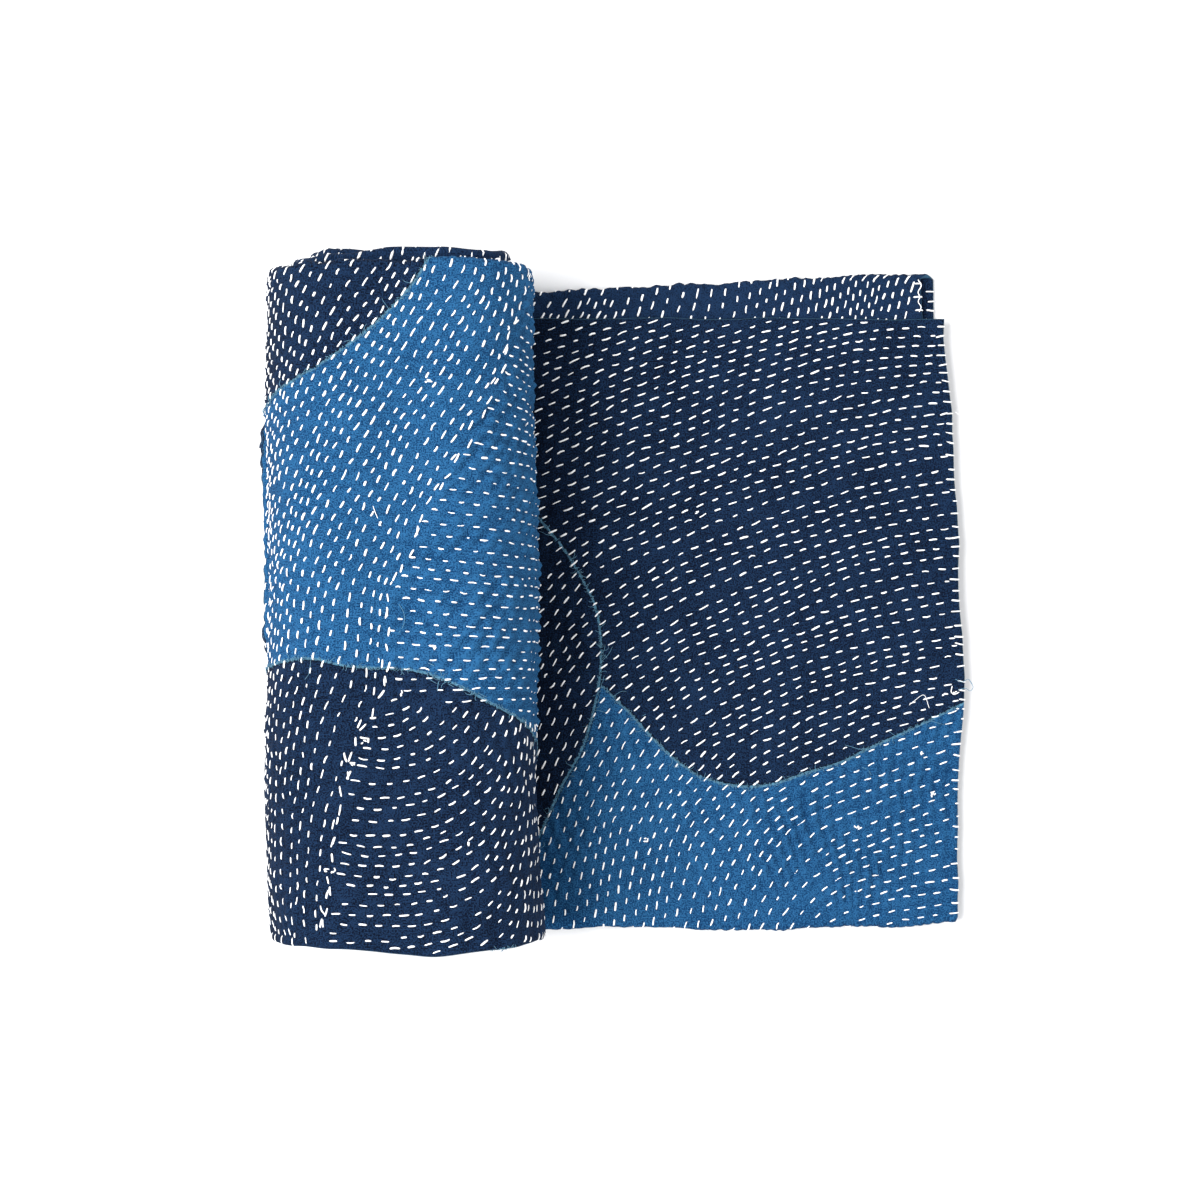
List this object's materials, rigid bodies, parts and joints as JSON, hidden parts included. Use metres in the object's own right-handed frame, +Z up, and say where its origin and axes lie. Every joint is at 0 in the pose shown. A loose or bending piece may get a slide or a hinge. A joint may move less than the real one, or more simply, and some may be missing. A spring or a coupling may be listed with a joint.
{
  "type": "patchwork quilt",
  "caption": "Stitched patchwork quilt in two blues, folded in three along its length and rolled up from one end, with the other end lying flat.",
  "frame": {"origin": "middle of the bounding box, on the surface that the quilt lies on", "axes": "+X from the roll towards the loose end, +Y along the roll towards its far end, +Z up"},
  "size_m": [0.4382, 0.4298, 0.1343],
  "materials": {
    "quilt_cloth": "washed plain-weave cotton, matt",
    "stitch_thread": "thick cotton thread, matt"
  },
  "bodies": {
    "root": {"quilt": "quilt_cloth"}
  },
  "joints": []
}
